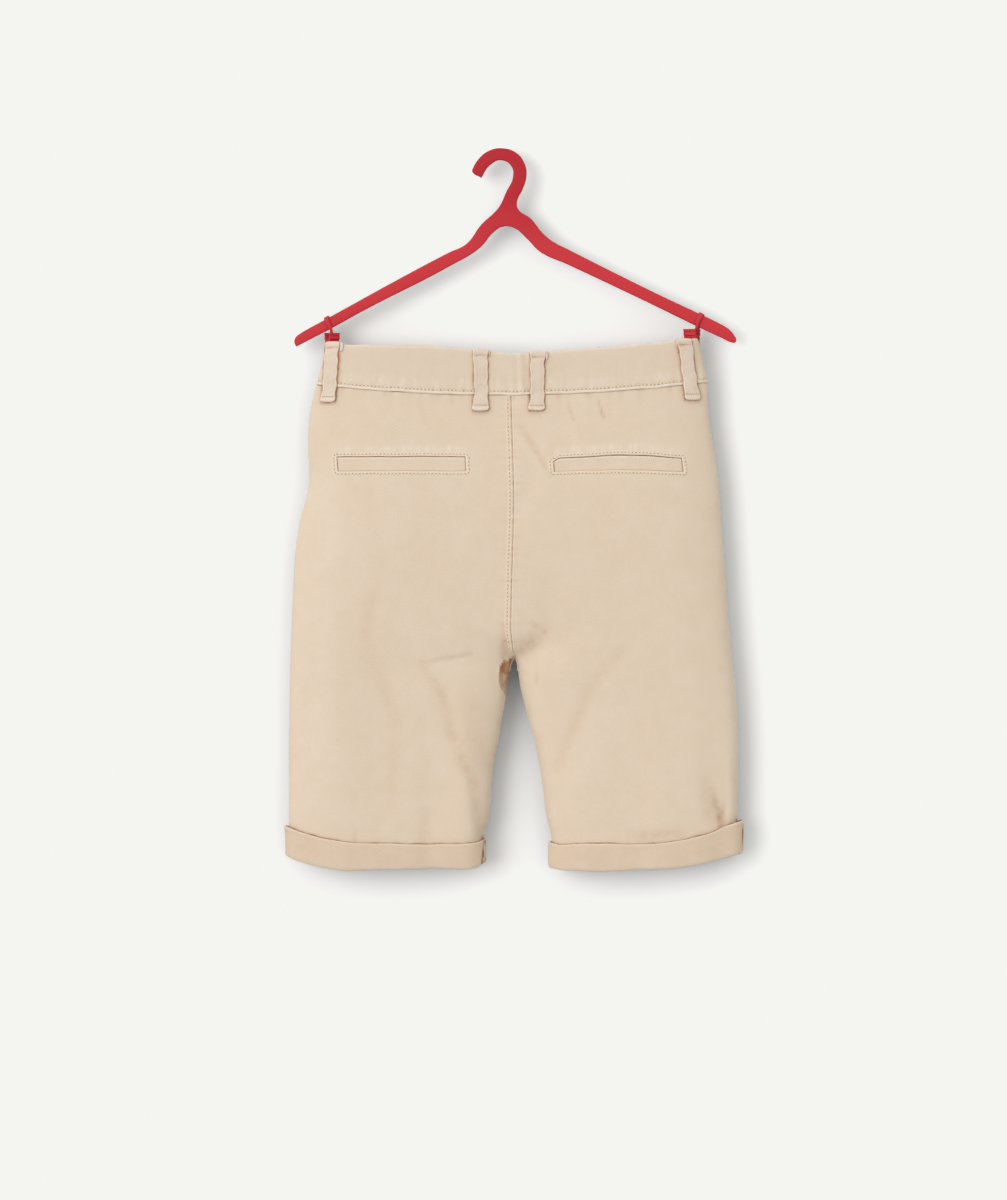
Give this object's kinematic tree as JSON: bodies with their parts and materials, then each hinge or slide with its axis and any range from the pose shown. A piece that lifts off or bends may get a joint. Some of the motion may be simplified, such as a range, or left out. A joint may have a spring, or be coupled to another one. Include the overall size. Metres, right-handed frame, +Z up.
{
  "type": "bermuda shorts on a clip hanger",
  "caption": "Turn-up bermuda shorts in twill, with belt loops and welt pockets, hung by pinch clips from a flat moulded hanger.",
  "frame": {"origin": "top of the hook's mouth, where a peg or rail carries the hanger", "axes": "+Z up, +Y out of the front of the shorts, -Y out of the back, -X towards the wearer's left"},
  "size_m": [0.3841, 0.0446, 0.6075],
  "materials": {
    "twill": "washed beige cotton twill",
    "twill_band": "the same twill, doubled and faced",
    "twill_loop": "the same twill, worn paler on its folded edges",
    "button_horn": "brown horn-like plastic",
    "plastic_red": "satin red moulded plastic"
  },
  "bodies": {
    "root": {"back_left": "twill", "back_right": "twill", "front_left": "twill", "front_right": "twill", "cuff_left": "twill", "cuff_right": "twill", "waistband_back": "twill_band", "waistband_front_left": "twill_band", "waistband_front_right": "twill_band", "belt_loop_side_left": "twill_loop", "belt_loop_back_left": "twill_loop", "belt_loop_back_right": "twill_loop", "belt_loop_side_right": "twill_loop", "belt_loop_front_left": "twill_loop", "belt_loop_front_right": "twill_loop", "pocket_welt_left": "twill", "pocket_welt_right": "twill", "fly_facing": "twill", "button": "button_horn", "hanger": "plastic_red", "clip_ring_left": "plastic_red", "clip_ring_right": "plastic_red", "clip_jaw_inner_left": "plastic_red", "clip_jaw_inner_right": "plastic_red", "clip_jaw_outer_left": "plastic_red", "clip_jaw_outer_right": "plastic_red"}
  },
  "joints": []
}
